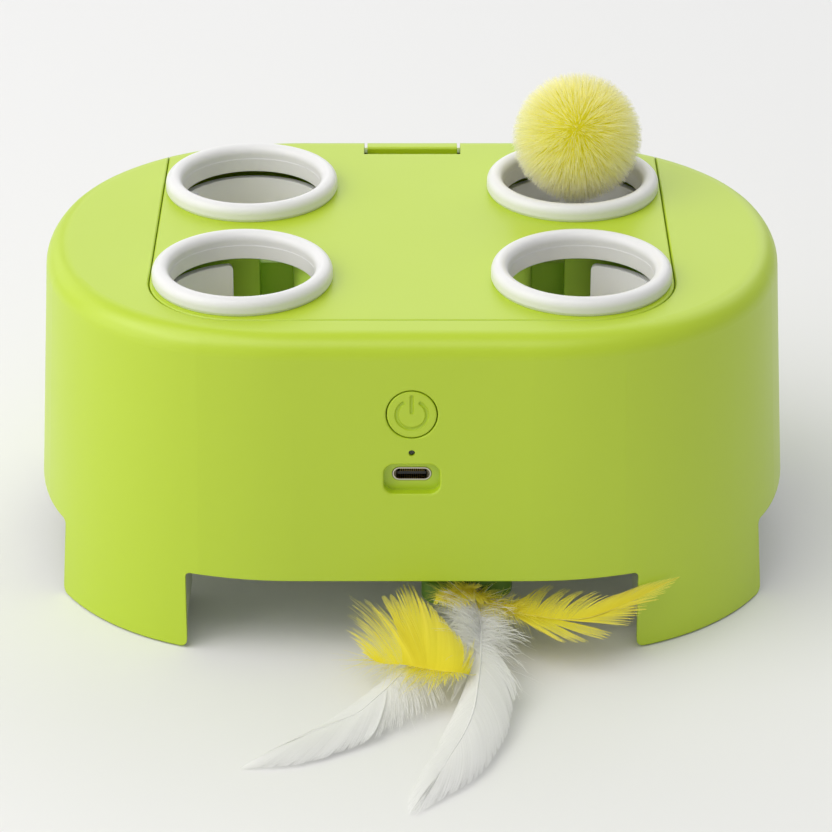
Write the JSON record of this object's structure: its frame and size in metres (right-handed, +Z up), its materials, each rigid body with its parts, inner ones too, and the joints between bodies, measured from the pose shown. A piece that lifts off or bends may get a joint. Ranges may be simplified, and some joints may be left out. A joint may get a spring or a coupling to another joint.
{
  "type": "pop-up cat toy",
  "caption": "Rounded oblong cat toy whose pom-poms rise through lipped holes in its top, with a turning feather rotor beneath its arched feet, a latched lift-off lid and a front power button.",
  "frame": {"origin": "on the floor, midway between the feet, below the axis of the selector drum and of the feather rotor", "axes": "+Z up, +X towards the right end, -Y towards the front with the power button"},
  "size_m": [0.1838, 0.1987, 0.1112],
  "materials": {
    "lime_plastic": "satin",
    "white_plastic": "satin",
    "grey_plastic": "matte",
    "green_plastic": "matte",
    "gear_plastic": "matte",
    "pom_fur": "matte",
    "feather_white": "matte",
    "feather_yellow": "matte",
    "steel": "satin",
    "brass": "satin",
    "rubber": "matte",
    "board": "matte",
    "dark_plastic": "matte",
    "clear_plastic": "clear",
    "cell_wrap": "satin"
  },
  "bodies": {
    "housing": {"shell": "lime_plastic", "base_plate": "grey_plastic", "foot_pads": "rubber", "base_screws": "steel", "chassis": "green_plastic", "well_back_right": "white_plastic", "well_back_left": "white_plastic", "well_front_left": "white_plastic", "well_front_right": "white_plastic", "turn_motor": "steel", "lift_motor": "steel", "feather_motor": "steel", "circuit_board": "board", "switch_body": "dark_plastic", "port_shell": "steel", "port_tongue": "dark_plastic", "light_pipe": "clear_plastic", "battery_cell": "cell_wrap"},
    "lid": {"lid": "lime_plastic", "ring_back_right": "white_plastic", "ring_back_left": "white_plastic", "ring_front_left": "white_plastic", "ring_front_right": "white_plastic"},
    "latch": {"latch_tab": "lime_plastic"},
    "drum": {"selector_drum": "green_plastic", "drum_gear": "gear_plastic"},
    "crosshead": {"crosshead": "gear_plastic", "lift_nut": "brass"},
    "screw": {"lead_screw": "steel", "lead_gear": "gear_plastic"},
    "popper_back_right": {"carriage_back_right": "white_plastic", "pompom_back_right": "pom_fur"},
    "popper_back_left": {"carriage_back_left": "white_plastic", "pompom_back_left": "pom_fur"},
    "popper_front_left": {"carriage_front_left": "white_plastic", "pompom_front_left": "pom_fur"},
    "popper_front_right": {"carriage_front_right": "white_plastic", "pompom_front_right": "pom_fur"},
    "turn_drive": {"turn_pinion": "brass"},
    "lift_drive": {"lift_pinion": "brass"},
    "feather_drive": {"feather_pinion": "brass"},
    "rotor": {"rotor_shaft": "steel", "feather_gear": "gear_plastic", "feather_rotor": "green_plastic", "ferrule": "steel", "feather_white_left": "feather_white", "feather_white_front": "feather_white", "feather_yellow_left": "feather_yellow", "feather_yellow_right": "feather_yellow", "feather_yellow_small": "feather_yellow"},
    "button": {"power_button": "lime_plastic", "switch_plunger": "dark_plastic"}
  },
  "joints": [
    {"name": "lid_lift", "type": "slide", "parent": "housing", "child": "lid", "axis": [0, 0, 1], "range_m": [0, 0.045]},
    {"name": "latch_flex", "type": "hinge", "parent": "lid", "child": "latch", "pos_m": [0, 0.0546, 0.0619], "axis": [1, 0, 0], "range_deg": [0, 5], "stiffness_Nm_per_rad": 0.5},
    {"name": "selector_turn", "type": "hinge", "parent": "housing", "child": "drum", "pos_m": [0, 0, 0.05], "axis": [0, 0, 1], "continuous": true},
    {"name": "lift_slide", "type": "slide", "parent": "drum", "child": "crosshead", "axis": [0, 0, 1], "range_m": [-0.04, 0]},
    {"name": "screw_turn", "type": "hinge", "parent": "housing", "child": "screw", "pos_m": [0, 0, 0.05], "axis": [0, 0, 1], "continuous": true},
    {"name": "popper_back_right_lift", "type": "slide", "parent": "housing", "child": "popper_back_right", "axis": [0, 0, 1], "range_m": [-0.04, 0]},
    {"name": "popper_back_left_lift", "type": "slide", "parent": "housing", "child": "popper_back_left", "axis": [0, 0, 1], "range_m": [0, 0.04]},
    {"name": "popper_front_left_lift", "type": "slide", "parent": "housing", "child": "popper_front_left", "axis": [0, 0, 1], "range_m": [0, 0.04]},
    {"name": "popper_front_right_lift", "type": "slide", "parent": "housing", "child": "popper_front_right", "axis": [0, 0, 1], "range_m": [0, 0.04]},
    {"name": "turn_pinion_spin", "type": "hinge", "parent": "housing", "child": "turn_drive", "pos_m": [0.00882, 0.04147, 0], "axis": [0, 0, 1], "continuous": true},
    {"name": "lift_pinion_spin", "type": "hinge", "parent": "housing", "child": "lift_drive", "pos_m": [-0.00882, 0.04147, 0], "axis": [0, 0, 1], "continuous": true},
    {"name": "rotor_turn", "type": "hinge", "parent": "housing", "child": "rotor", "pos_m": [0, 0, 0.02], "axis": [0, 0, 1], "continuous": true, "deforming": ["feather_white_left", "feather_white_front", "feather_yellow_left", "feather_yellow_right", "feather_yellow_small"]},
    {"name": "feather_pinion_spin", "type": "hinge", "parent": "housing", "child": "feather_drive", "pos_m": [0, -0.0424, 0], "axis": [0, 0, 1], "continuous": true},
    {"name": "power_press", "type": "slide", "parent": "housing", "child": "button", "axis": [0, 1, 0], "range_m": [0, 0.0006], "stiffness_N_per_m": 800, "springref_m": -0.0005}
  ],
  "couplings": [
    {"joint": "popper_back_right_lift", "follows": "lift_slide", "ratio": 1},
    {"joint": "screw_turn", "follows": "lift_slide", "rad_per_m": -314.16},
    {"joint": "lift_pinion_spin", "follows": "lift_slide", "rad_per_m": 1199.5},
    {"joint": "turn_pinion_spin", "follows": "selector_turn", "ratio": -3.8182},
    {"joint": "feather_pinion_spin", "follows": "rotor_turn", "ratio": -3.8182}
  ]
}
